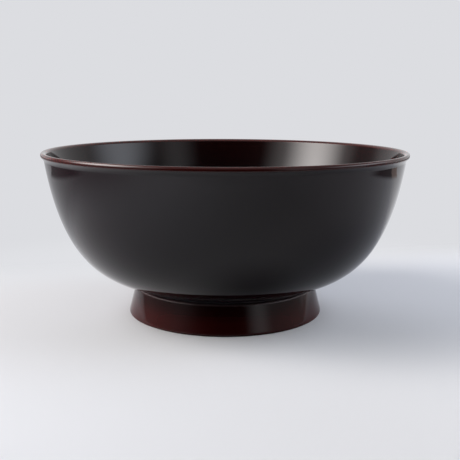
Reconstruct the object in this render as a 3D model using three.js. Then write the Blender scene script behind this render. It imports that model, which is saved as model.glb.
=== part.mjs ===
// A turned wooden bowl with an applied foot ring and a coat of dark translucent lacquer.
// Millimetres, +Z up. The origin is on the turning axis, on the surface the bowl stands on.

import * as THREE from 'three';

// Overall sizes
const rimDiameter = 127;
const bowlHeight = 57.6;

// Lip: a narrow bead with an upright outer face, whose crown lies nearer its outside than its inside
const crownHeight = 1.05; // from the bead's widest point up to its crown
const crownToOutside = 0.6;
const crownToInside = 1.5;
const beadUnderRound = 0.55; // radius of the roll under the widest point
const beadTuck = 45; // degrees that the roll turns
const beadProud = 1.15; // how far the bead stands out past the top of the wall

// Outer wall
const wallTopDrop = 3; // from the top of the lip down to where the wall starts below its cove
const wallTopLean = 8.5; // degrees off vertical
const wallFootLean = 13.6; // degrees off horizontal, where the wall runs in over the foot
const wallUpperFullness = 0.822; // how far each end of the wall's curve keeps its direction
const wallLowerFullness = 0.376;

// Inner wall
const innerTopLean = 12.5; // degrees off vertical
const innerUpperFullness = 0.88;
const innerLowerFullness = 0.7;
const wellAboveFoot = 4.04; // from the foot's ledge up to the middle of the well

// Neck and foot
const neckDiameter = 62.4;
const neckHeight = 0.84; // the upright collar between the foot's ledge and the wall
const footHeight = 10.16;
const footLedge = 0.87;
const footBaseDiameter = 69.35; // where the side would meet the floor if its edge were sharp
const footTopRound = 0.6;
const footEdgeRound = 0.85;
const restWidth = 3.4; // the flat ring that the bowl stands on
const restInnerRound = 0.8;
const recessFlare = 2.2; // how far the recess opens out from its ceiling to the floor
const recessDepth = 6;
const seatFlange = 4.5; // from the recess corner in to the bore for the spigot

// Coats and joints
const coat = 0.25;
const bondLine = 0.03; // between a coat and the wood under it
const glueLine = 0.05; // round and under the spigot

// Facets
const turns = 48;
const wallSteps = 9;
const coveSteps = 3;
const lipInsideSteps = 3;
const lipOutsideSteps = 4;
const lipUnderSteps = 2;
const edgeSteps = 3;

// Directions in a half section, in degrees
const straightUp = 90;
const straightDown = 270;

const point = (r, z) => new THREE.Vector2(r, z);
const along = (from, degrees, length) => {
  const angle = THREE.MathUtils.degToRad(degrees);
  return point(from.x + Math.cos(angle) * length, from.y + Math.sin(angle) * length);
};

// How far a rounded edge starts from its sharp corner, given the ways the two sides leave it.
const setback = (oneWay, otherWay, radius) => radius / Math.tan(oneWay.angleTo(otherWay) / 2);

// Heights and radii that follow from the sizes above
const rimRadius = rimDiameter / 2;
const lipMiddle = bowlHeight - crownHeight;
const crownRadius = rimRadius - crownToOutside;
const innerSlope = Math.tan(THREE.MathUtils.degToRad(innerTopLean));
const lipInsideStart = Math.PI - Math.atan(innerSlope * crownHeight / crownToInside); // no crease to the wall
const innerTop = point(
  crownRadius + crownToInside * Math.cos(lipInsideStart),
  lipMiddle + crownHeight * Math.sin(lipInsideStart),
);
const wellMiddle = point(0, footHeight + wellAboveFoot);
const wallTop = point(rimRadius - beadProud, bowlHeight - wallTopDrop);
const neckRadius = neckDiameter / 2;
const wallFoot = point(neckRadius, footHeight + neckHeight);
const neckCorner = point(neckRadius, footHeight);
const footTopCorner = point(neckRadius + footLedge, footHeight);
const footBaseCorner = point(footBaseDiameter / 2, 0);
const inward = point(-1, 0);
const outward = point(1, 0);
const footSideWay = footTopCorner.clone().sub(footBaseCorner);
const recessWay = point(-recessFlare, recessDepth);
const restOuter = footBaseCorner.x - setback(footSideWay, inward, footEdgeRound);
const restInner = restOuter - restWidth;
const restInnerCorner = point(restInner - setback(recessWay, outward, restInnerRound), 0);
const recessCorner = restInnerCorner.clone().add(recessWay);
const recessMiddle = point(0, recessDepth);

// Inside of the bowl, from the middle of the well up to the lip.
function innerWall() {
  const rise = innerTop.y - wellMiddle.y;
  const upperReach = rise * innerUpperFullness / Math.cos(THREE.MathUtils.degToRad(innerTopLean));
  const upperHandle = along(innerTop, straightDown - innerTopLean, upperReach);
  const lowerHandle = point(innerTop.x * innerLowerFullness, wellMiddle.y);
  return new THREE.CubicBezierCurve(wellMiddle, lowerHandle, upperHandle, innerTop).getPoints(wallSteps);
}

// Lip bead: up to its crown on the inside, over to its widest point, then rolled under.
function lipBead() {
  const crown = Math.PI / 2;
  const widest = 0;
  const tuck = THREE.MathUtils.degToRad(-beadTuck);
  const arc = (middle, reachOut, reachUp, from, to) =>
    new THREE.EllipseCurve(middle, lipMiddle, reachOut, reachUp, from, to, true);
  const inside = arc(crownRadius, crownToInside, crownHeight, lipInsideStart, crown).getPoints(lipInsideSteps);
  const outside = arc(crownRadius, crownToOutside, crownHeight, crown, widest).getPoints(lipOutsideSteps);
  const rollMiddle = rimRadius - beadUnderRound;
  const under = arc(rollMiddle, beadUnderRound, beadUnderRound, widest, tuck).getPoints(lipUnderSteps);
  return [...inside, ...outside.slice(1), ...under.slice(1)];
}

// Cove from under the bead into the wall, along the tangents of both.
function cove(beadEnd) {
  const beadSlope = THREE.MathUtils.degToRad(straightUp - beadTuck);
  const wallSlope = THREE.MathUtils.degToRad(straightUp - wallTopLean);
  const gap = point(beadEnd.x - wallTop.x, beadEnd.y - wallTop.y);
  const shared = Math.sin(wallSlope - beadSlope);
  const reach = (gap.y * Math.cos(beadSlope) - gap.x * Math.sin(beadSlope)) / shared;
  const meeting = along(wallTop, straightUp - wallTopLean, reach);
  return new THREE.QuadraticBezierCurve(beadEnd, meeting, wallTop).getPoints(coveSteps);
}

// Outside of the bowl, from under the lip down to the neck.
function outerWall() {
  const drop = wallTop.y - wallFoot.y;
  const run = wallTop.x - wallFoot.x;
  const upperReach = drop * wallUpperFullness / Math.cos(THREE.MathUtils.degToRad(wallTopLean));
  const lowerReach = run * wallLowerFullness / Math.cos(THREE.MathUtils.degToRad(wallFootLean));
  const upperHandle = along(wallTop, straightDown - wallTopLean, upperReach);
  const lowerHandle = along(wallFoot, wallFootLean, lowerReach);
  return new THREE.CubicBezierCurve(wallTop, upperHandle, lowerHandle, wallFoot).getPoints(wallSteps);
}

// An edge of the foot, rounded between its two sides.
function roundedEdge(before, corner, after, radius) {
  const inWay = before.clone().sub(corner).normalize();
  const outWay = after.clone().sub(corner).normalize();
  const back = setback(inWay, outWay, radius);
  const start = corner.clone().addScaledVector(inWay, back);
  const end = corner.clone().addScaledVector(outWay, back);
  return new THREE.QuadraticBezierCurve(start, corner, end).getPoints(edgeSteps);
}

// Foot, from the corner at the neck over the ledge, down the side, under and up into the recess.
function footOutline() {
  return [
    neckCorner,
    ...roundedEdge(neckCorner, footTopCorner, footBaseCorner, footTopRound),
    ...roundedEdge(footTopCorner, footBaseCorner, restInnerCorner, footEdgeRound),
    ...roundedEdge(footBaseCorner, restInnerCorner, recessCorner, restInnerRound),
    recessCorner,
  ];
}

// The line parallel to a surface line, a depth below it in the material on its right-hand side.
function inset(line, depth) {
  const mirrored = (p) => point(-p.x, p.y);
  const normal = (from, to) => point(to.y - from.y, from.x - to.x).normalize();
  return line.map((here, i) => {
    const before = line[i - 1] ?? mirrored(line[i + 1]);
    const after = line[i + 1] ?? mirrored(line[i - 1]);
    const first = normal(before, here);
    const middle = first.clone().add(normal(here, after)).normalize();
    return here.clone().addScaledVector(middle, depth / middle.dot(first));
  });
}

// The finished surface as one line: well, lip, wall, foot and recess. Each stretch is one coat.
const innerLine = innerWall();
const lipLine = lipBead();
const beadEnd = lipLine[lipLine.length - 1];
const outerLine = [...cove(beadEnd), ...outerWall().slice(1), neckCorner];
const footLine = footOutline();
const stretches = [innerLine, lipLine.slice(1), outerLine.slice(1), footLine.slice(1), [recessMiddle]];
const surface = stretches.flat();
const stretchEnds = stretches.map((_, i) => stretches.slice(0, i + 1).flat().length - 1);
const [lipStart, lipEnd, neck, recess, last] = stretchEnds;

const coatBed = inset(surface, coat);
const wood = inset(surface, coat + bondLine);

// A ring whose section closes on itself.
const ring = (section) => [...section, section[0]];

// The coat along a stretch of the surface. A section that meets the axis starts and ends there.
function coatSection(first, end) {
  const bed = coatBed.slice(first, end + 1);
  const top = surface.slice(first, end + 1).reverse();
  return surface[end].x === 0 ? [...top, ...bed] : [...bed, ...top];
}

// The cup sits with its shoulder on the foot ring and its spigot in the ring's bore.
const boreRadius = recessCorner.x - seatFlange;
const spigotRadius = boreRadius - glueLine;
const seat = wood[neck];
const shoulder = seat.y + glueLine;
const spigotEnd = wood[last].y;

const cupSection = [
  point(0, spigotEnd),
  point(spigotRadius, spigotEnd),
  point(spigotRadius, shoulder),
  point(seat.x, shoulder),
  ...wood.slice(0, neck).reverse(),
];

const footSection = [
  point(boreRadius, seat.y),
  point(boreRadius, spigotEnd),
  ...wood.slice(neck, recess + 1).reverse(),
];

const zelkova = new THREE.MeshStandardMaterial({ color: 0x9a6a3f, roughness: 0.6, metalness: 0 });
const darkLacquer = new THREE.MeshStandardMaterial({ color: 0x1c0d0d, roughness: 0.12, metalness: 0 });
const thinLacquer = new THREE.MeshStandardMaterial({ color: 0x3a100d, roughness: 0.12, metalness: 0 });

const bowl = new THREE.Group();

// Turns a half section round the axis and adds it to the bowl.
function turned(name, section, material) {
  const geometry = new THREE.LatheGeometry(section, turns);
  geometry.rotateX(Math.PI / 2);
  const mesh = new THREE.Mesh(geometry, material.clone());
  mesh.name = name;
  bowl.add(mesh);
}

turned('cup_core', cupSection, zelkova);
turned('foot_ring', ring(footSection), zelkova);
turned('inner_lacquer', coatSection(0, lipStart), darkLacquer);
turned('lip_lacquer', ring(coatSection(lipStart, lipEnd)), thinLacquer);
turned('outer_lacquer', ring(coatSection(lipEnd, neck)), darkLacquer);
turned('foot_lacquer', ring(coatSection(neck, recess)), thinLacquer);
turned('base_lacquer', coatSection(recess, last), darkLacquer);

export default bowl;
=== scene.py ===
import math

import bpy
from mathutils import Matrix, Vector


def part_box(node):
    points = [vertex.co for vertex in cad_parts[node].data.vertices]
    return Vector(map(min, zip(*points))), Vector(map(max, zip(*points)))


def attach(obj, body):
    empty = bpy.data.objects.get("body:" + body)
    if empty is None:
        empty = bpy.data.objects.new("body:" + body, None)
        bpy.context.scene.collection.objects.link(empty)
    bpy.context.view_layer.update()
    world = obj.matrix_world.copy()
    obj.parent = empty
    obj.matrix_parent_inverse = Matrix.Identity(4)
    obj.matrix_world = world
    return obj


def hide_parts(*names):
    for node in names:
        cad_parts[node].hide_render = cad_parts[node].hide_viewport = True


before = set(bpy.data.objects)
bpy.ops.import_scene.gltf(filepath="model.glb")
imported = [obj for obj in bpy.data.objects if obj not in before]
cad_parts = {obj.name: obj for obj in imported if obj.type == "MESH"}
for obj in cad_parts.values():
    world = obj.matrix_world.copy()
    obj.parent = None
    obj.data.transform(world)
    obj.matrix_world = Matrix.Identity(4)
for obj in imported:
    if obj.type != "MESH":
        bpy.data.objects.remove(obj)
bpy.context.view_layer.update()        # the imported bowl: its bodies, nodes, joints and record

mm = 0.001
body = "root"

# Directions in a half section, in degrees from straight out
straightUp = 90
inward = 180
straightDown = 270


# Small helpers for half sections: points are (radius, height) in metres
def along(start, degrees, length):
    angle = math.radians(degrees)
    return (start[0] + math.cos(angle) * length, start[1] + math.sin(angle) * length)


def arc(middle, reachOut, reachUp, fromDegrees, toDegrees, count):
    points = []
    for i in range(count + 1):
        angle = math.radians(fromDegrees + (toDegrees - fromDegrees) * i / count)
        points.append((middle[0] + reachOut * math.cos(angle), middle[1] + reachUp * math.sin(angle)))
    return points


def stepToward(here, there, i, count):
    return (here[0] + (there[0] - here[0]) * i / count, here[1] + (there[1] - here[1]) * i / count)


def bezier(handles, count):
    points = []
    for i in range(count + 1):
        row = list(handles)
        while len(row) > 1:        # de Casteljau: each row has one point fewer than the last
            row = [stepToward(here, there, i, count) for here, there in zip(row, row[1:])]
        points.append(row[0])
    return points


def rounded(before, corner, after, radius, count):
    wayIn = math.atan2(before[1] - corner[1], before[0] - corner[0])
    wayOut = math.atan2(after[1] - corner[1], after[0] - corner[0])
    between = abs((wayIn - wayOut + math.pi) % math.tau - math.pi)
    back = radius / math.tan(between / 2)
    start = along(corner, math.degrees(wayIn), back)
    end = along(corner, math.degrees(wayOut), back)
    return bezier([start, corner, end], count)


def inset(line, depth):        # the same line, a depth down in the material on its right
    moved = []
    quarterTurn = 90
    for i, here in enumerate(line):
        before = line[i - 1] if i > 0 else (-line[1][0], line[1][1])
        after = line[i + 1] if i + 1 < len(line) else (-line[i - 1][0], line[i - 1][1])
        turnIn = math.atan2(here[1] - before[1], here[0] - before[0])
        turnOut = math.atan2(after[1] - here[1], after[0] - here[0])
        half = ((turnOut - turnIn + math.pi) % math.tau - math.pi) / 2
        moved.append(along(here, math.degrees(turnIn + half) - quarterTurn, depth / math.cos(half)))
    return moved


# The finished outline in one line, from the middle of the well over the lip, down the wall and under the foot
lipShape = {
    "crownHeight": 1.05 * mm, "crownToOutside": 0.6 * mm, "crownToInside": 1.5 * mm,
    "underRound": 0.55 * mm, "tuck": 45, "proud": 1.15 * mm,
    "insideSteps": 16, "outsideSteps": 30, "underSteps": 12, "coveSteps": 16,
}
wallShape = {
    "topDrop": 3.0 * mm, "topLean": 8.5, "footLean": 13.6,
    "upperFullness": 0.822, "lowerFullness": 0.376, "steps": 90,
}
innerShape = {"topLean": 12.5, "upperFullness": 0.88, "lowerFullness": 0.7, "steps": 90}
footShape = {
    "neckRadius": 31.2 * mm, "neckHeight": 0.84 * mm, "ledge": 0.87 * mm, "baseRadius": 34.675 * mm,
    "topRound": 0.6 * mm, "edgeRound": 0.85 * mm, "restWidth": 3.4 * mm, "innerRound": 0.8 * mm,
    "recessFlare": 2.2 * mm, "pool": 0.3 * mm, "edgeSteps": 10, "sideSteps": 16,
}
coatThickness = 0.25 * mm
joints = {"bondLine": 0.03 * mm, "glueLine": 0.05 * mm, "seatFlange": 4.5 * mm}

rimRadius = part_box("lip_lacquer")[1].x
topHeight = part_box("lip_lacquer")[1].z
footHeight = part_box("foot_lacquer")[1].z
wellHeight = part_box("inner_lacquer")[0].z + coatThickness
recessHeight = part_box("base_lacquer")[0].z

lipMiddle = (rimRadius - lipShape["crownToOutside"], topHeight - lipShape["crownHeight"])


def insideLine():
    lean = innerShape["topLean"]
    lipRatio = lipShape["crownHeight"] / lipShape["crownToInside"]
    slope = math.tan(math.radians(lean))
    lipStart = inward - math.degrees(math.atan(slope * lipRatio))        # where the lip has the wall's slope
    top = arc(lipMiddle, lipShape["crownToInside"], lipShape["crownHeight"], lipStart, lipStart, 1)[0]
    well = (0, wellHeight)
    rise = (top[1] - wellHeight) * innerShape["upperFullness"]
    upper = along(top, straightDown - lean, rise / math.cos(math.radians(lean)))
    lower = (top[0] * innerShape["lowerFullness"], wellHeight)
    return bezier([well, lower, upper, top], innerShape["steps"]), lipStart


def lipLine(lipStart):
    height = lipShape["crownHeight"]
    under = lipShape["underRound"]
    rollMiddle = (rimRadius - under, lipMiddle[1])
    inside = arc(lipMiddle, lipShape["crownToInside"], height, lipStart, straightUp, lipShape["insideSteps"])
    outside = arc(lipMiddle, lipShape["crownToOutside"], height, straightUp, 0, lipShape["outsideSteps"])
    roll = arc(rollMiddle, under, under, 0, -lipShape["tuck"], lipShape["underSteps"])
    return inside + outside[1:] + roll[1:]


def wallLine(beadEnd):
    topLean = wallShape["topLean"]
    footLean = wallShape["footLean"]
    top = (rimRadius - lipShape["proud"], topHeight - wallShape["topDrop"])
    neck = (footShape["neckRadius"], footHeight + footShape["neckHeight"])
    beadSlope = math.radians(straightUp - lipShape["tuck"])
    wallSlope = math.radians(straightUp - topLean)
    gapOut = beadEnd[0] - top[0]
    gapUp = beadEnd[1] - top[1]
    reach = (gapUp * math.cos(beadSlope) - gapOut * math.sin(beadSlope)) / math.sin(wallSlope - beadSlope)
    cove = bezier([beadEnd, along(top, straightUp - topLean, reach), top], lipShape["coveSteps"])
    drop = (top[1] - neck[1]) * wallShape["upperFullness"] / math.cos(math.radians(topLean))
    run = (top[0] - neck[0]) * wallShape["lowerFullness"] / math.cos(math.radians(footLean))
    upper = along(top, straightDown - topLean, drop)
    lower = along(neck, footLean, run)
    return cove[:-1] + bezier([top, upper, lower, neck], wallShape["steps"])


def footLines():
    corner = (footShape["neckRadius"], footHeight)
    topEdge = (corner[0] + footShape["ledge"], footHeight)
    base = (footShape["baseRadius"], 0)
    sideWay = math.atan2(topEdge[1], base[0] - topEdge[0])        # the side's slope, from the floor
    recessWay = math.atan2(recessHeight, footShape["recessFlare"])
    restOuter = base[0] - footShape["edgeRound"] / math.tan(sideWay / 2)
    restInner = restOuter - footShape["restWidth"]
    restCorner = restInner - footShape["innerRound"] / math.tan((math.pi - recessWay) / 2)
    rest = (restCorner, 0)
    recess = (restCorner - footShape["recessFlare"], recessHeight)
    count = footShape["edgeSteps"]
    half = count // 2
    pool = rounded((corner[0], footHeight + mm), corner, topEdge, footShape["pool"], count)
    topRound = rounded(corner, topEdge, base, footShape["topRound"], count)
    baseRound = rounded(topEdge, base, rest, footShape["edgeRound"], count)
    side = bezier([topRound[-1], baseRound[0]], footShape["sideSteps"])
    restRound = rounded(base, rest, recess, footShape["innerRound"], count)
    outline = pool[half:] + topRound + side[1:-1] + baseRound + restRound + [recess]
    return pool[:half + 1], outline


inside, lipStart = insideLine()
lip = lipLine(lipStart)
pool, foot = footLines()
wall = wallLine(lip[-1]) + pool        # lacquer gathers in the corner between the neck and the foot's ledge
stretches = [inside, lip[1:], wall[1:], foot[1:], [(0, recessHeight)]]
surface = [point for stretch in stretches for point in stretch]
bed = inset(surface, coatThickness)
wood = inset(surface, coatThickness + joints["bondLine"])
ends = [sum(len(stretch) for stretch in stretches[:i + 1]) - 1 for i in range(len(stretches))]
starts = [0] + ends[:-1]
insideStretch, lipStretch, wallStretch, footStretch = range(4)        # those that lie on the wood's sides
print("outline:", len(surface), "points")


# Each piece is drawn as a half section, one extruded vertex after another, and spun round the axis
turning = {"round": 256, "hiddenStride": 6, "weld": mm / 1000, "smoothAngle": 40}


def hidden(line, number):        # a stretch that a coat hides needs fewer points
    stretch = line[starts[number]:ends[number] + 1]
    return stretch[:-1:turning["hiddenStride"]] + [stretch[-1]]


def coatOutline(number):
    top = surface[starts[number]:ends[number] + 1]
    under = hidden(bed, number)
    return top[::-1] + under if top[-1][0] == 0 else under + top[::-1]


def woodOutlines():        # the cup's spigot is glued into the foot ring, with its shoulder on the ring
    bore = foot[-1][0] - joints["seatFlange"]
    spigot = bore - joints["glueLine"]
    seat = wood[ends[wallStretch]]
    shoulder = seat[1] + joints["glueLine"]
    spigotEnd = wood[-1][1]
    cupSide = hidden(wood, insideStretch) + hidden(wood, lipStretch)[1:] + hidden(wood, wallStretch)[1:-1]
    cup = [(0, spigotEnd), (spigot, spigotEnd), (spigot, shoulder), (seat[0], shoulder)] + cupSide[::-1]
    ring = [(bore, seat[1]), (bore, spigotEnd)] + hidden(wood, footStretch)[::-1]
    return {"cup_core": cup, "foot_ring": ring}


def turnPiece(name, outline):
    if outline[0][0] > 0:
        outline = outline + outline[:1]        # a ring closes on itself
    bpy.ops.object.select_all(action="DESELECT")
    bpy.ops.mesh.primitive_plane_add(size=mm, location=(0, 0, 0))
    piece = bpy.context.object
    piece.name = name
    piece.data.name = name
    bpy.ops.object.mode_set(mode="EDIT")
    bpy.ops.mesh.merge(type="CENTER")        # one vertex to draw with
    bpy.ops.transform.translate(value=(outline[0][0], 0, outline[0][1]))
    for here, there in zip(outline, outline[1:]):
        step = (there[0] - here[0], 0, there[1] - here[1])
        bpy.ops.mesh.extrude_region_move(TRANSFORM_OT_translate={"value": step})
    bpy.ops.mesh.select_all(action="SELECT")
    bpy.ops.mesh.spin(steps=turning["round"], angle=math.tau, center=(0, 0, 0), axis=(0, 0, 1))
    bpy.ops.mesh.select_all(action="SELECT")
    bpy.ops.mesh.remove_doubles(threshold=turning["weld"])
    bpy.ops.mesh.normals_make_consistent(inside=False)
    bpy.ops.object.mode_set(mode="OBJECT")
    bpy.ops.object.shade_smooth_by_angle(angle=math.radians(turning["smoothAngle"]))
    print("turned", name, len(piece.data.polygons), "faces")
    return piece


# Materials: a value given to a node is a setting, a number for an input, or the output of another node
def toLinear(hexColour):
    channels = [int(hexColour[i:i + 2], 16) / 255 for i in (1, 3, 5)]
    return (*[c / 12.92 if c <= 0.04045 else ((c + 0.055) / 1.055) ** 2.4 for c in channels], 1)


def addNode(tree, kind, values={}):
    node = tree.nodes.new(kind)
    for name, value in values.items():
        if not isinstance(name, int) and name not in node.inputs:
            setattr(node, name, value)
        elif isinstance(value, bpy.types.NodeSocket):
            tree.links.new(value, node.inputs[name])
        else:
            node.inputs[name].default_value = value
    return node


def calculate(tree, operation, *values):
    return addNode(tree, "ShaderNodeMath", {"operation": operation, **dict(enumerate(values))}).outputs[0]


def ramp(tree, value, span, levels=(0, 1), kind="SMOOTHSTEP"):
    settings = {"interpolation_type": kind, "Value": value, "From Min": span[0], "From Max": span[1],
                "To Min": levels[0], "To Max": levels[1]}
    return addNode(tree, "ShaderNodeMapRange", settings).outputs[0]


def mixNumbers(tree, share, first, second):
    return addNode(tree, "ShaderNodeMix", {"data_type": "FLOAT", 0: share, 2: first, 3: second}).outputs[0]


def mixColours(tree, share, first, second):
    return addNode(tree, "ShaderNodeMix", {"data_type": "RGBA", 0: share, 6: first, 7: second}).outputs[2]


def newMaterial(name):
    material = bpy.data.materials.new(name)
    material.use_nodes = True
    material.node_tree.nodes.clear()
    return material, material.node_tree


# Brushed urushi: a translucent brown lacquer over a red ground, polished to a mirror. It looks black where
# it lies thick and glows red-brown where it thins over an edge.
def brushedUrushi(name, look):
    material, tree = newMaterial(name)
    place = addNode(tree, "ShaderNodeTexCoord").outputs["Object"]
    height = addNode(tree, "ShaderNodeSeparateXYZ", {0: place}).outputs["Z"]
    flat = addNode(tree, "ShaderNodeVectorMath", {"operation": "MULTIPLY", 0: place, 1: (1, 1, 0)}).outputs[0]
    radius = addNode(tree, "ShaderNodeVectorMath", {"operation": "LENGTH", 0: flat}).outputs["Value"]

    # Brush marks run round the bowl, and a slower flow lies under them
    across = calculate(tree, "ADD", radius, height)        # grows along the section
    strokes = calculate(tree, "DIVIDE", across, look["brushWidth"])
    strokes = addNode(tree, "ShaderNodeCombineXYZ", {"Z": strokes}).outputs[0]
    perLength = (1 / look["brushLength"],) * 3
    drawn = addNode(tree, "ShaderNodeVectorMath", {"operation": "MULTIPLY", 0: flat, 1: perLength}).outputs[0]
    drawn = addNode(tree, "ShaderNodeVectorMath", {"operation": "ADD", 0: drawn, 1: strokes}).outputs[0]
    brush = addNode(tree, "ShaderNodeTexNoise", {"Vector": drawn, "Scale": 1, "Detail": look["brushDetail"],
                                                 "Roughness": look["brushGrit"]}).outputs["Fac"]
    flow = addNode(tree, "ShaderNodeTexNoise", {"Vector": place, "Scale": 1 / look["flowSize"],
                                                "Detail": look["flowDetail"]}).outputs["Fac"]

    # Colour: the ground shows through where the lacquer thins, mottled by brush and flow
    thin = ramp(tree, height, look["thinning"])
    mottle = calculate(tree, "MULTIPLY_ADD", flow, look["mottle"], -look["mottle"] / 2)
    mottle = calculate(tree, "MULTIPLY_ADD", brush, look["mottle"], mottle)
    amount = addNode(tree, "ShaderNodeMath", {"operation": "ADD", "use_clamp": True, 0: thin, 1: mottle})
    colour = mixColours(tree, amount.outputs[0], toLinear(look["thick"]), toLinear(look["thin"]))
    # A paler band at one height: a painted highlight along the foot's top edge
    paintedHighlight = calculate(tree, "COMPARE", height, look["paintedHighlightAt"], look["paintedHighlightWidth"] / 2)
    colour = mixColours(tree, paintedHighlight, colour, toLinear(look["paintedHighlight"]))

    # Gloss: edges and corners keep a satin, as the polish misses them
    offMiddle = calculate(tree, "SUBTRACT", height, look["polishMiddle"])
    offMiddle = calculate(tree, "ABSOLUTE", offMiddle)
    polished = (look["polishReach"], look["polishReach"] + look["polishEdge"])
    dull = ramp(tree, offMiddle, polished, (0, look["edgeRoughness"]))
    gloss = calculate(tree, "MULTIPLY_ADD", brush, look["roughness"], dull)
    gloss = calculate(tree, "ADD", gloss, look["roughness"])
    wave = addNode(tree, "ShaderNodeBump", {"Strength": 1, "Distance": look["flowDepth"], "Height": flow})
    marks = addNode(tree, "ShaderNodeBump", {"Strength": 1, "Distance": look["brushDepth"], "Height": brush,
                                             "Normal": wave.outputs[0]})
    shader = addNode(tree, "ShaderNodeBsdfPrincipled", {"IOR": look["ior"], "Base Color": colour,
                                                        "Roughness": gloss, "Normal": marks.outputs[0]})
    addNode(tree, "ShaderNodeOutputMaterial", {"Surface": shader.outputs[0]})
    return material


# Turned zelkova: a pale brown wood with broad darker bands and fine pores. Hidden under the coats.
def turnedZelkova(look):
    material, tree = newMaterial("turned_zelkova")
    place = addNode(tree, "ShaderNodeTexCoord").outputs["Object"]
    bands = addNode(tree, "ShaderNodeTexWave", {"wave_type": "BANDS", "Vector": place,
                                                "Scale": look["bandScale"], "Distortion": look["bandWarp"],
                                                "Detail": look["bandDetail"]})
    pores = addNode(tree, "ShaderNodeTexNoise", {"Vector": place, "Scale": 1 / look["poreSize"],
                                                 "Detail": look["poreDetail"]})
    grain = mixNumbers(tree, look["poreShare"], bands.outputs["Fac"], pores.outputs["Fac"])
    colour = mixColours(tree, grain, toLinear(look["early"]), toLinear(look["late"]))
    relief = addNode(tree, "ShaderNodeBump", {"Strength": look["relief"], "Distance": look["poreDepth"],
                                              "Height": pores.outputs["Fac"]})
    shader = addNode(tree, "ShaderNodeBsdfPrincipled", {"Roughness": look["roughness"], "Base Color": colour,
                                                        "Normal": relief.outputs[0]})
    addNode(tree, "ShaderNodeOutputMaterial", {"Surface": shader.outputs[0]})
    return material


# One coat for each stretch of the outline, in its order. The lacquer goes from thick to thin between the two
# heights of thinning, and is polished to within polishReach of the height polishMiddle. A paler band along
# the foot's top edge is a painted highlight.
finish = {
    "brushLength": 30 * mm, "brushWidth": 0.5 * mm, "brushDepth": 0.0006 * mm, "brushDetail": 3,
    "brushGrit": 0.6, "flowSize": 9 * mm, "flowDepth": 0.006 * mm, "flowDetail": 2, "mottle": 0.12,
    "roughness": 0.025, "edgeRoughness": 0.4, "polishEdge": 0.8 * mm, "ior": 1.36,
    # a painted highlight: the paler band along the foot's top edge
    "paintedHighlight": "#46393a", "paintedHighlightAt": 9.85 * mm, "paintedHighlightWidth": 0.5 * mm,
}
coats = {
    "inside_coat": {
        "node": "inner_lacquer", "thick": "#0b0304", "thin": "#140505", "thinning": (40 * mm, 62 * mm),
        "polishMiddle": 36 * mm, "polishReach": 30 * mm,
    },
    "lip_coat": {
        "node": "lip_lacquer", "thick": "#2a0807", "thin": "#380f0c", "thinning": (56.5 * mm, 57.6 * mm),
        "polishMiddle": 57 * mm, "polishReach": 5 * mm,
    },
    "wall_coat": {
        "node": "outer_lacquer", "thick": "#0c0207", "thin": "#110308", "thinning": (45 * mm, 58 * mm),
        "polishMiddle": 36 * mm, "polishReach": 23.6 * mm,
    },
    # The foot's colour, near-black at its top under the cup and redder towards the floor, is painted shade
    # and painted light
    "foot_coat": {
        "node": "foot_lacquer", "thick": "#1d0606", "thin": "#2e0908", "thinning": (9 * mm, 3 * mm),
        "polishMiddle": 5.3 * mm, "polishReach": 4.1 * mm, "roughness": 0.055,
    },
    "base_coat": {
        "node": "base_lacquer", "thick": "#110505", "thin": "#1c0907", "thinning": (0, 20 * mm),
        "polishMiddle": 0, "polishReach": 5.3 * mm,
    },
}
coatPieces = []
for number, (name, look) in enumerate(coats.items()):
    piece = turnPiece(name, coatOutline(number))
    coatPieces.append(piece)
    piece.data.materials.append(brushedUrushi(name + "_urushi", {**finish, **look}))
    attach(piece, body)
    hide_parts(look["node"])

woodLook = {
    "early": "#b98a54", "late": "#7d4e28", "bandScale": 20.83, "bandWarp": 4, "bandDetail": 3,
    "poreSize": 0.25 * mm, "poreDetail": 2, "poreShare": 0.3, "poreDepth": 0.05 * mm, "relief": 0.4,
    "roughness": 0.55,
}
zelkova = turnedZelkova(woodLook)
for node, outline in woodOutlines().items():
    piece = turnPiece("turned_" + node, outline)
    piece.data.materials.append(zelkova)
    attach(piece, body)
    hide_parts(node)
print("pieces finished")


# Floor: a matte white sheet that passes into the backdrop's own tone behind the bowl and away from it.
# The lacquer mirrors it with painted light at the left and painted shade at the right, at the far left and in
# front of the foot, and it throws little light back on the bowl. Spans are in metres, and its tone takes its
# first level at a span's start and its second at the end.
floorLook = {
    "reach": 3.0, "corners": 96, "paper": "#e4e4e6", "matte": 0.5, "fold": "#e0e1e5", "backdrop": "#dcdde1",
    "foldSpan": (0.032, 0.092), "foldSlant": -0.25, "lightFade": (0.4, 0.8), "seenFade": (0.115, 0.175),
    "paintedMirrorLightSpan": (-0.07, 0.08), "paintedMirrorLightLevels": (1.13, 0.74),
    "paintedFarLeftShadeSpan": (-0.1, -0.24), "paintedFarLeftShadeLevels": (1, 0.4),
    "paintedFoldLightSpan": (-0.22, 0.16), "paintedFoldLightLevels": (0.8, 1.18),
    "paintedShadowSpot": (0.012, -0.042, 0), "paintedShadowSpan": (0, 0.034), "paintedShadowLevels": (0.4, 1), "bounce": 0.3,
}
bpy.ops.object.select_all(action="DESELECT")
bpy.ops.mesh.primitive_circle_add(vertices=floorLook["corners"], radius=floorLook["reach"], fill_type="NGON",
                                  location=(0, 0, 0))
floor = bpy.context.object
floor.name = "floor"
material, tree = newMaterial("floor_sheet")
path = addNode(tree, "ShaderNodeLightPath").outputs
place = addNode(tree, "ShaderNodeTexCoord").outputs["Object"]
axes = addNode(tree, "ShaderNodeSeparateXYZ", {0: place}).outputs

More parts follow.
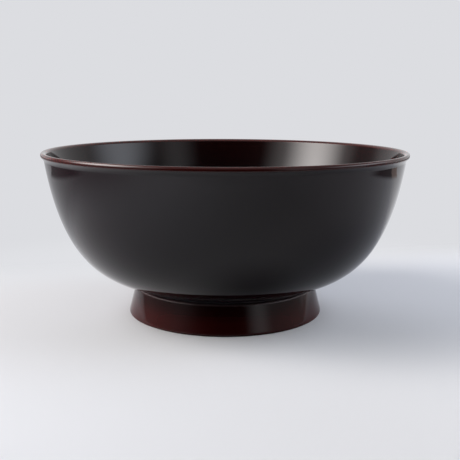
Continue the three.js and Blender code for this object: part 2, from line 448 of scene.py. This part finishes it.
# How much of the sheet has passed into the backdrop, which the eye sees sooner than light does. Its fold runs
# aslant, nearer at the left.
fromBowl = addNode(tree, "ShaderNodeVectorMath", {"operation": "LENGTH", 0: place}).outputs["Value"]
behind = calculate(tree, "MULTIPLY_ADD", axes["X"], floorLook["foldSlant"], axes["Y"])
fold = ramp(tree, behind, floorLook["foldSpan"])
lightFade = ramp(tree, fromBowl, floorLook["lightFade"])
seenFade = ramp(tree, fromBowl, floorLook["seenFade"])
fade = mixNumbers(tree, path["Is Camera Ray"], lightFade, seenFade)
plain = calculate(tree, "MAXIMUM", fold, fade)

# The sheet itself
# Painted light at the left and painted shade at the right, seen only in the lacquer
paintedMirrorLight = ramp(tree, axes["X"], floorLook["paintedMirrorLightSpan"], floorLook["paintedMirrorLightLevels"], "LINEAR")
# Painted shade at the far left, seen only in the lacquer
paintedFarLeftShade = ramp(tree, axes["X"], floorLook["paintedFarLeftShadeSpan"], floorLook["paintedFarLeftShadeLevels"])
# A painted contact shadow round the foot, seen only in the lacquer
fromSpot = addNode(tree, "ShaderNodeVectorMath", {"operation": "DISTANCE", 0: place,
                                                  1: floorLook["paintedShadowSpot"]})
paintedContactShadow = ramp(tree, fromSpot.outputs["Value"], floorLook["paintedShadowSpan"], floorLook["paintedShadowLevels"])
mirrored = calculate(tree, "MULTIPLY", paintedMirrorLight, paintedFarLeftShade)
mirrored = calculate(tree, "MULTIPLY", mirrored, paintedContactShadow)
paperLevel = mixNumbers(tree, path["Is Glossy Ray"], 1, mirrored)
paperLevel = mixNumbers(tree, path["Is Diffuse Ray"], paperLevel, floorLook["bounce"])
paper = addNode(tree, "ShaderNodeVectorMath", {"operation": "SCALE", 0: toLinear(floorLook["paper"])[:3],
                                               "Scale": paperLevel}).outputs[0]
sheet = addNode(tree, "ShaderNodeBsdfDiffuse", {"Roughness": floorLook["matte"], "Color": paper}).outputs[0]

# What it passes into
tone = mixColours(tree, fade, toLinear(floorLook["fold"]), toLinear(floorLook["backdrop"]))
# Painted shade at the left and painted light at the right in the tone the lacquer mirrors
paintedFoldLight = ramp(tree, axes["X"], floorLook["paintedFoldLightSpan"], floorLook["paintedFoldLightLevels"], "LINEAR")
toneLevel = mixNumbers(tree, path["Is Glossy Ray"], 1, paintedFoldLight)
far = addNode(tree, "ShaderNodeEmission", {"Color": tone, "Strength": toneLevel}).outputs[0]
mixed = addNode(tree, "ShaderNodeMixShader", {0: plain, 1: sheet, 2: far}).outputs[0]
addNode(tree, "ShaderNodeOutputMaterial", {"Surface": mixed})
floor.data.materials.append(material)
print("floor laid")

# Dark room beyond the table's edges: cards just above the floor that only the lacquer mirrors. Each goes from
# clear to its tone across its edge. Sides are west, east, south and north.
leftEdge = {"axis": "X", "edge": (-0.212, -0.234)}
rightEdge = {"axis": "X", "edge": (0.217, 0.236)}
frontEdge = {"axis": "Y", "edge": (-0.16, -0.26)}
roomCards = {
    "left": {"sides": (-3.0, -0.2, -0.07, 0.195), "tone": "#777577", **leftEdge},
    "left_far": {"sides": (-3.0, -0.45, 0.195, 3.0), "tone": "#777577", **leftEdge},
    "right": {"sides": (0.2, 3.0, -0.05, 0.11), "tone": "#6b696b", **rightEdge},
    "right_far": {"sides": (0.2, 0.45, 0.11, 0.165), "tone": "#bfaea8", **rightEdge},
    "right_back": {"sides": (0.45, 3.0, 0.11, 3.0), "tone": "#777577", **rightEdge},
    "front": {"sides": (-2.0, 2.0, -3.0, -0.1), "tone": "#000000", **frontEdge},
}
cardHeight = 0.5 * mm
for name, look in roomCards.items():
    west, east, south, north = look["sides"]
    bpy.ops.mesh.primitive_plane_add(size=1, location=((west + east) / 2, (south + north) / 2, cardHeight))
    card = bpy.context.object
    card.name = "card_" + name
    card.scale = (east - west, north - south, 1)
    card.visible_camera = False
    card.visible_diffuse = False
    card.visible_shadow = False
    material, tree = newMaterial("room_" + name)
    place = addNode(tree, "ShaderNodeNewGeometry").outputs["Position"]
    axes = addNode(tree, "ShaderNodeSeparateXYZ", {0: place}).outputs
    amount = ramp(tree, axes[look["axis"]], look["edge"])
    clear = addNode(tree, "ShaderNodeBsdfTransparent").outputs[0]
    dark = addNode(tree, "ShaderNodeEmission", {"Color": toLinear(look["tone"])}).outputs[0]
    mixed = addNode(tree, "ShaderNodeMixShader", {0: amount, 1: clear, 2: dark}).outputs[0]
    addNode(tree, "ShaderNodeOutputMaterial", {"Surface": mixed})
    card.data.materials.append(material)
print("cards laid")

# Room: the backdrop's tone to the eye. To everything else it is dark, black behind the camera and pale at the
# back, with a ceiling that the lacquer mirrors.
roomLook = {
    "air": "#fcfdff", "dark": 0.3, "backdrop": 0.823, "ceiling": 0.1, "mirroredCeiling": 0.68,
    "blackSpan": (-0.97, -0.485), "paleWay": 80.6, "paleSpan": (0.37, 0.622), "highSpan": (0.46, 0.58),
}
world = bpy.data.worlds.new("studio")
bpy.context.scene.world = world
world.use_nodes = True
tree = world.node_tree
tree.nodes.clear()
path = addNode(tree, "ShaderNodeLightPath").outputs
way = addNode(tree, "ShaderNodeTexCoord").outputs["Generated"]
axes = addNode(tree, "ShaderNodeSeparateXYZ", {0: way}).outputs
front = ramp(tree, axes["Y"], roomLook["blackSpan"], (0, roomLook["dark"]))
paleWay = (*along((0, 0), roomLook["paleWay"], 1), 0)
toward = addNode(tree, "ShaderNodeVectorMath", {"operation": "DOT_PRODUCT", 0: way, 1: paleWay})
back = ramp(tree, toward.outputs["Value"], roomLook["paleSpan"], (0, roomLook["backdrop"] - roomLook["dark"]))
around = calculate(tree, "ADD", front, back)
high = ramp(tree, axes["Z"], roomLook["highSpan"])
ceiling = mixNumbers(tree, path["Is Glossy Ray"], roomLook["ceiling"], roomLook["mirroredCeiling"])
level = mixNumbers(tree, high, around, ceiling)
room = addNode(tree, "ShaderNodeBackground", {"Color": toLinear(roomLook["air"]), "Strength": level})
seen = addNode(tree, "ShaderNodeBackground", {"Color": toLinear(floorLook["backdrop"])})
both = addNode(tree, "ShaderNodeMixShader", {0: path["Is Camera Ray"], 1: room.outputs[0],
                                             2: seen.outputs[0]}).outputs[0]
addNode(tree, "ShaderNodeOutputWorld", {"Surface": both})

# Soft boxes, whose light dies away to their edges. The key at the left casts the shadow, and those at the
# right, back and front lift it. The front one lights the floor alone, and the two low ones the bowl alone.
softBoxes = {
    "key_softbox": {
        "place": (-0.55, -0.06, 0.62), "width": 0.6, "height": 0.55, "radiance": 6.2, "tint": "#fffbf8",
        "softEdge": 0.5,
    },
    "left_softbox": {
        "place": (-0.37, -0.095, 0.253), "width": 0.6, "height": 0.36, "radiance": 6.7, "tint": "#fffdfb",
        "softEdge": 0.8,
    },
    "right_softbox": {
        "place": (0.65, -0.03, 0.215), "width": 0.79, "height": 0.33, "radiance": 4.5, "tint": "#f8fbff",
        "softEdge": 0.8,
    },
    "fill_softbox": {
        "place": (0.42, 0.0, 0.38), "width": 0.8, "height": 0.5, "radiance": 3.55, "tint": "#ebf2ff",
        "softEdge": 0.5,
    },
    "back_softbox": {
        "place": (-0.2, 0.68, 0.3), "width": 1.4, "height": 0.5, "radiance": 7.15, "tint": "#edf2ff",
        "softEdge": 0.5,
    },
    "front_softbox": {
        "place": (0.08, -0.55, 0.32), "width": 1.3, "height": 0.4, "radiance": 0.4, "tint": "#fffdfd",
        "softEdge": 0.5, "only": "floor",
    },
    "left_low_softbox": {
        "place": (-0.5, 0.14, 0.09), "width": 0.5, "height": 0.3, "radiance": 24, "tint": "#fffbf8",
        "softEdge": 0.5, "only": "bowl",
    },
    "right_low_softbox": {
        "place": (0.5, 0.22, 0.08), "width": 0.5, "height": 0.3, "radiance": 8, "tint": "#f8fbff",
        "softEdge": 0.5, "only": "bowl",
    },
}

# Panels that light nothing matt and only show in the lacquer, where the soft boxes don't show
panels = {
    "left_panel": {
        "place": (-0.37, -0.09, 0.253), "width": 0.437, "height": 0.357, "radiance": 12.4, "tint": "#fff9f6",
        "softEdge": 0.8,
    },
    "left_panel_glow": {
        "place": (-0.37, -0.102, 0.253), "width": 0.77, "height": 0.357, "radiance": 4.5, "tint": "#fffbfa",
        "softEdge": 0.8,
    },
    "right_panel": {
        "place": (0.633, -0.05, 0.24), "width": 0.9, "height": 0.28, "radiance": 3.95, "tint": "#eef4ff",
        "softEdge": 0.8,
    },
    "front_right_card": {
        "place": (0.386, -0.46, 0.2), "width": 0.42, "height": 0.36, "radiance": 0.75, "tint": "#fbfcff",
        "softEdge": 0.2,
    },
}
aim = Vector((0, 0, 30 * mm))        # the middle of the bowl
clothEdge = 0.5        # from the middle of a box's cloth, in widths or heights
receivers = {}
for name, lit in {"floor": [floor], "bowl": coatPieces}.items():
    receivers[name] = bpy.data.collections.new(name + "_alone")
    for piece in lit:
        receivers[name].objects.link(piece)
for name, look in {**softBoxes, **panels}.items():
    place = Vector(look["place"])
    bpy.ops.object.light_add(type="AREA", location=place)
    light = bpy.context.object
    light.name = name
    light.rotation_euler = (aim - place).to_track_quat("-Z", "Y").to_euler()
    light.visible_glossy = name in panels
    light.visible_diffuse = name in softBoxes
    if "only" in look:
        light.light_linking.receiver_collection = receivers[look["only"]]
    light.data.shape = "RECTANGLE"
    light.data.size = look["width"]
    light.data.size_y = look["height"]
    light.data.energy = look["radiance"] * math.pi * look["width"] * look["height"]
    light.data.use_nodes = True
    tree = light.data.node_tree
    tree.nodes.clear()
    cloth = addNode(tree, "ShaderNodeNewGeometry").outputs["Parametric"]
    middle = (clothEdge, clothEdge, 0)
    away = addNode(tree, "ShaderNodeVectorMath", {"operation": "SUBTRACT", 0: cloth, 1: middle}).outputs[0]
    away = addNode(tree, "ShaderNodeVectorMath", {"operation": "ABSOLUTE", 0: away}).outputs[0]
    axes = addNode(tree, "ShaderNodeSeparateXYZ", {0: away}).outputs
    sideways = ramp(tree, axes["X"], (clothEdge, 0))
    upward = ramp(tree, axes["Y"], (clothEdge, clothEdge - look["softEdge"] / 2))
    glow = calculate(tree, "MULTIPLY", sideways, upward)
    lamp = addNode(tree, "ShaderNodeEmission", {"Color": toLinear(look["tint"]), "Strength": glow}).outputs[0]
    addNode(tree, "ShaderNodeOutputLight", {"Surface": lamp})
print("set lit")

# Camera, as the photo was taken
cameraLook = {
    "lens": 59.8, "sensorWidth": 36, "clipStart": 10 * mm, "aside": 1.71 * mm, "distance": 270 * mm,
    "height": 77.8 * mm, "tilt": 10.27, "roll": 0.2,
}
bpy.ops.object.camera_add(location=(cameraLook["aside"], -cameraLook["distance"], cameraLook["height"]))
camera = bpy.context.object
camera.name = "photo_camera"
camera.rotation_mode = "ZXY"        # rolls about its own line of sight, then tilts
camera.rotation_euler = (math.radians(straightUp - cameraLook["tilt"]), 0, math.radians(cameraLook["roll"]))
camera.data.lens = cameraLook["lens"]
camera.data.sensor_width = cameraLook["sensorWidth"]
camera.data.clip_start = cameraLook["clipStart"]
bpy.context.scene.camera = camera
bpy.context.scene.view_settings.view_transform = "Standard"
print("camera set")
